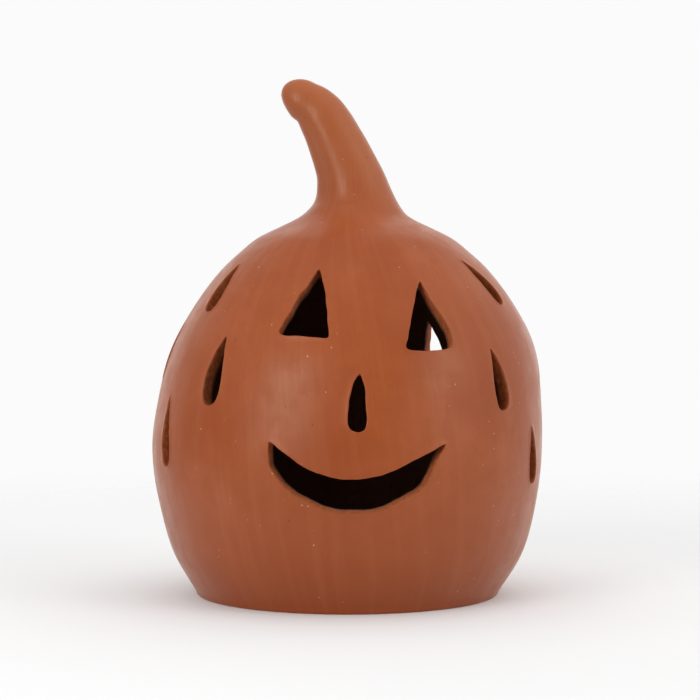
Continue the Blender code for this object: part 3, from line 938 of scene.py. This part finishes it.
def twisted_wick():
    """Yarns laid together, with their ends drawn in."""
    mesh = bmesh.new()
    low, high = WICK_LOW.z, WICK_HIGH.z
    yarn = (WICK_HIGH.x - WICK_LOW.x) / 4
    lay = 0.98 * yarn
    steps, sides = 60, 10
    for strand in range(YARNS):
        rings = []
        for step in range(steps + 1):
            share = step / steps
            turn = 2 * math.pi * (strand / YARNS + YARN_TURNS * share)
            end = min(1.0, 8 * share + 0.35, 8 * (1 - share) + 0.30)
            centre = Vector((lay * math.cos(turn), lay * math.sin(turn), low + (high - low) * share))
            ring = []
            for side in range(sides):
                a = 2 * math.pi * side / sides
                ring.append(mesh.verts.new(centre + Vector((math.cos(a), math.sin(a), 0)) * yarn * end))
            rings.append(ring)
        mesh.faces.new(rings[0][::-1])
        mesh.faces.new(rings[-1])
        for below, above in zip(rings, rings[1:]):
            for i in range(sides):
                j = (i + 1) % sides
                mesh.faces.new((below[i], below[j], above[j], above[i]))
    data = bpy.data.meshes.new("tea_light_wick")
    mesh.to_mesh(data)
    mesh.free()
    return in_scene("tea_light_wick", data)


def put(piece, body, slot, material, *nodes):
    """Dress a piece, hang it on its body's empty and hide the parts of the frame that it stands for."""
    piece.data.materials.append(material)
    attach(piece, body)
    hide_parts(*nodes)


# ---------------------------------------------------------------- stage, light and camera
# The sheet: how solid it is beyond the foot, how far out it starts to fade, and where it has gone.
PAPER_BODY = 0.86
PAPER_WHOLE = 0.18
PAPER_GONE = 0.60
# How bright the surroundings are to the camera itself.
WORLD_SEEN = 0.965
# The glow that lights the object: side, axis along which it grows, from where to where, how strong.
WORLD_GLOW = (
    ("behind", "Y", 0.55, 0.97, 1.05),
    ("above", "Z", 0.10, 0.90, 0.30),
    ("left", "X", -0.20, -0.95, 0.34),
    ("right", "X", 0.20, 0.95, 0.78),
    ("in_front", "Y", -0.10, -0.80, 0.09),
)
# Soft boxes: name, azimuth, elevation, distance, size, watts and whether it shows in reflections.
SOFT_BOXES = (
    ("left_box", -40.0, 15.0, 1.2, (0.58, 0.78), 5.7, True),
    ("right_box", 57.0, 18.0, 1.2, (0.42, 0.62), 2.2, True),
    ("top_box", 0.0, 92.0, 1.8, (2.4, 2.4), 20.8, False),
)
LIGHT_AIM = Vector((0, 0, 0.10))
LENS, SENSOR = 132.0, 36.0
CAMERA_AZIMUTH = -2.5
CAMERA_ELEVATION = 2.81
CAMERA_DISTANCE = 1.1
# Where the camera aims, to the right of the middle of the object's box and above its foot.
AIM_SHIFT = 1.07 * MM
AIM_HEIGHT = 104.4 * MM


def paper():
    """The top of the sheet under the object, as one wide disc."""
    rows = [(PAPER_GONE * share, 0.0) for share in (1.0, 0.75, 0.5, 0.25, 0.1, 0.0)]
    sheet = lathe("paper", rows, 96)
    sheet.data.materials.append(paper_material())


def look_from(thing, aim, azimuth, elevation, distance):
    """Put a lamp or a camera in the scene, this far from its aim. Azimuth 0 is in front of the face."""
    a, e = math.radians(azimuth), math.radians(elevation)
    back = Vector((math.sin(a) * math.cos(e), -math.cos(a) * math.cos(e), math.sin(e)))
    thing.location = aim + back * distance
    thing.rotation_euler = back.to_track_quat("Z", "Y").to_euler()
    bpy.context.scene.collection.objects.link(thing)


def soft_box(name, azimuth, elevation, distance, size, watts, mirrored):
    """An area light facing the middle of the object, unseen itself, with or without its reflection."""
    light = bpy.data.lights.new(name, "AREA")
    light.shape = "RECTANGLE"
    light.size, light.size_y = size
    light.energy = watts
    lamp = bpy.data.objects.new(name, light)
    lamp.visible_camera = False
    lamp.visible_glossy = mirrored
    look_from(lamp, LIGHT_AIM, azimuth, elevation, distance)


def surroundings():
    """A white studio: bright behind, above and at the sides, dim on the side the face looks to."""
    world = bpy.data.worlds.new("studio")
    world.use_nodes = True
    world.node_tree.nodes.clear()
    n = Nodes(world.node_tree)
    towards = n.node("ShaderNodeTexCoord").outputs["Generated"]
    axes = n.node("ShaderNodeSeparateXYZ", {0: towards}).outputs
    level = 0.0
    for name, axis, low, high, strength in WORLD_GLOW:
        glow = n.band(axes["XYZ".index(axis)], low, high, 0.0, strength)
        glow.node.name = name
        level = n.math("ADD", level, glow)
    seen = n.node("ShaderNodeLightPath").outputs["Is Camera Ray"]
    level = n.node("ShaderNodeMix", {0: seen, 2: level, 3: WORLD_SEEN}, data_type="FLOAT").outputs[0]
    background = n.node("ShaderNodeBackground", {"Color": (1, 1, 1, 1), "Strength": level})
    n.node("ShaderNodeOutputWorld", {"Surface": background.outputs[0]})
    bpy.context.scene.world = world


def lighting():
    """The surroundings, two soft boxes in front, left and right, and a wide soft one overhead."""
    surroundings()
    for box in SOFT_BOXES:
        soft_box(*box)
    view = bpy.context.scene.view_settings
    view.view_transform = "Standard"
    view.look = "None"


def camera():
    """A long lens from just left of the face, a little above the object's middle."""
    data = bpy.data.cameras.new("camera")
    data.lens = LENS
    data.sensor_width = SENSOR
    data.clip_start, data.clip_end = 0.05, 30
    low, high = (Vector(corner) for corner in cad_box)
    aim = Vector(((low.x + high.x) / 2 + AIM_SHIFT, (low.y + high.y) / 2, low.z + AIM_HEIGHT))
    eye = bpy.data.objects.new("camera", data)
    look_from(eye, aim, CAMERA_AZIMUTH, CAMERA_ELEVATION, CAMERA_DISTANCE)
    bpy.context.scene.camera = eye


put(clay_skin(), "pumpkin", "clay", clay_material(), "pumpkin_shell", "stem", "stem_collar")
put(tea_light_cup(), "tea_light", "cup_aluminium", aluminium_material(), "candle_cup")
put(tea_light_wax(), "tea_light", "wax", wax_material(), "candle_wax")
put(twisted_wick(), "tea_light", "wick", cotton_material(), "candle_wick")
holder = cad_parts["wick_holder"]
holder.data.materials.clear()
holder.data.materials.append(tin_material())
paper()
lighting()
camera()
